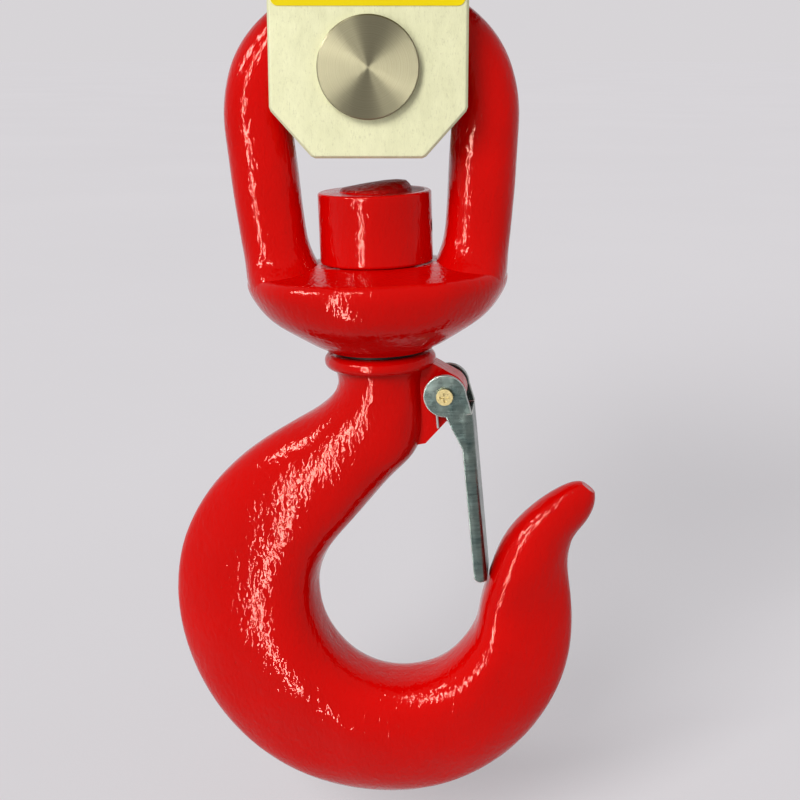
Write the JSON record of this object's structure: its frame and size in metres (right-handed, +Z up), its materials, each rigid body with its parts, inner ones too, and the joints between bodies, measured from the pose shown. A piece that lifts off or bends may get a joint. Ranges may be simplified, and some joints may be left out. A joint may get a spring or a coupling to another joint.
{
  "type": "crane scale",
  "caption": "Hanging scale: a bow shackle carries a load bar in a boxed housing with a lit display; a swivel hook with a safety latch hangs from a cross pin.",
  "frame": {"origin": "inside of the shackle's crown, where the crane's hook bears", "axes": "+Z up, +X to the right of the display, the display faces -Y"},
  "size_m": [0.2364, 0.1653, 0.8278],
  "materials": {
    "galvanised": "hot-dip galvanised",
    "bolt_steel": "zinc plated",
    "nickel_steel": "nickel plated, satin",
    "turned_steel": "faced on a lathe",
    "keeper_steel": "zinc plated",
    "label_film": "printed film, left bare",
    "red_enamel": "thick gloss enamel on a forging",
    "dark_steel": "plain",
    "zinc_sheet": "zinc plated sheet",
    "yellow_zinc": "yellow zinc",
    "spring_steel": "drawn wire",
    "housing_paint": "powder coated casting",
    "black_rubber": "matt",
    "key_rubber": "matt",
    "screw_steel": "stainless",
    "knob_steel": "stainless",
    "bezel_plastic": "fine grain",
    "clear_window": "clear",
    "lamp_plastic": "clear",
    "digit_black": "black face",
    "digit_red": "lit red",
    "board_green": "solder mask",
    "chip_black": "moulded",
    "plated_brass": "bright",
    "foil": "foil",
    "tray_plastic": "moulded",
    "battery_sleeve": "shrunk sleeve"
  },
  "bodies": {
    "shackle": {"shackle_bow": "galvanised", "shackle_bolt": "bolt_steel", "shackle_nut": "bolt_steel", "shackle_cotter": "bolt_steel"},
    "scale": {"load_cell_bar": "nickel_steel", "strain_gauges": "foil", "gauge_covers": "nickel_steel", "gauge_cover_screws": "screw_steel", "cable_gland": "bezel_plastic", "gauge_cable": "black_rubber", "front_label": "label_film", "lower_pin": "turned_steel", "pin_keeper": "keeper_steel", "keeper_bolts": "keeper_steel", "front_shell": "housing_paint", "rear_shell": "housing_paint", "shell_gasket": "black_rubber", "shell_screws": "screw_steel", "top_grommet": "black_rubber", "bottom_grommet": "black_rubber", "cell_brackets": "keeper_steel", "bracket_bolts": "screw_steel", "bracket_screws": "screw_steel", "display_bezel": "bezel_plastic", "bezel_screws": "screw_steel", "display_window": "clear_window", "window_seal": "black_rubber", "digit_module": "digit_black", "digit_segments": "digit_red", "main_board": "board_green", "board_standoffs": "plated_brass", "board_screws": "screw_steel", "board_parts": "chip_black", "key_switches": "chip_black", "status_lights": "lamp_plastic", "battery_tray": "tray_plastic", "tray_screws": "screw_steel", "battery_pack": "battery_sleeve", "battery_terminals": "plated_brass", "battery_seal": "black_rubber", "battery_cover": "housing_paint", "charge_socket": "bezel_plastic", "socket_nut": "keeper_steel", "cap_hinge": "bezel_plastic"},
    "link": {"swivel_link": "red_enamel", "swivel_washer": "dark_steel"},
    "hook": {"hook_forging": "red_enamel", "swivel_nut": "red_enamel", "nut_lock_pin": "dark_steel", "latch_screw": "yellow_zinc", "latch_nut": "zinc_sheet", "latch_spring": "spring_steel"},
    "latch": {"latch_plate": "zinc_sheet"},
    "power_key": {"power_key": "key_rubber"},
    "zero_key": {"zero_key": "key_rubber"},
    "tare_key": {"tare_key": "key_rubber"},
    "hold_key": {"hold_key": "key_rubber"},
    "cover_screw_left": {"cover_screw_left": "knob_steel"},
    "cover_screw_right": {"cover_screw_right": "knob_steel"},
    "socket_cap": {"socket_cap": "black_rubber"}
  },
  "joints": [
    {"name": "shackle_swing", "type": "hinge", "parent": "shackle", "child": "scale", "pos_m": [0, 0, -0.1365], "axis": [1, 0, 0], "range_deg": [-45, 45]},
    {"name": "link_swing", "type": "hinge", "parent": "scale", "child": "link", "pos_m": [0, 0, -0.4525], "axis": [0, 1, 0], "range_deg": [-30, 30]},
    {"name": "hook_turn", "type": "hinge", "parent": "link", "child": "hook", "pos_m": [0.00402, 0, -0.57683], "axis": [-0.0323, 0, 0.9995], "continuous": true},
    {"name": "latch_open", "type": "hinge", "parent": "hook", "child": "latch", "pos_m": [0.03403, -0.00309, -0.59408], "axis": [0.1045, 0.9945, 0.0034], "range_deg": [0, 35], "stiffness_Nm_per_rad": 0.12, "springref_deg": -51.57},
    {"name": "power_key_press", "type": "slide", "parent": "scale", "child": "power_key", "axis": [0, 1, 0], "range_m": [0, 0.0012], "stiffness_N_per_m": 1500, "springref_m": -0.0008},
    {"name": "zero_key_press", "type": "slide", "parent": "scale", "child": "zero_key", "axis": [0, 1, 0], "range_m": [0, 0.0012], "stiffness_N_per_m": 1500, "springref_m": -0.0008},
    {"name": "tare_key_press", "type": "slide", "parent": "scale", "child": "tare_key", "axis": [0, 1, 0], "range_m": [0, 0.0012], "stiffness_N_per_m": 1500, "springref_m": -0.0008},
    {"name": "hold_key_press", "type": "slide", "parent": "scale", "child": "hold_key", "axis": [0, 1, 0], "range_m": [0, 0.0012], "stiffness_N_per_m": 1500, "springref_m": -0.0008},
    {"name": "cover_screw_left_turn", "type": "hinge", "parent": "scale", "child": "cover_screw_left", "pos_m": [-0.0647, 0.075, -0.2835], "axis": [0, 1, 0], "continuous": true},
    {"name": "cover_screw_right_turn", "type": "hinge", "parent": "scale", "child": "cover_screw_right", "pos_m": [0.0647, 0.075, -0.2835], "axis": [0, 1, 0], "continuous": true},
    {"name": "socket_cap_open", "type": "hinge", "parent": "scale", "child": "socket_cap", "pos_m": [0.1188, 0.054, -0.3435], "axis": [0, 0, 1], "range_deg": [0, 110]}
  ]
}
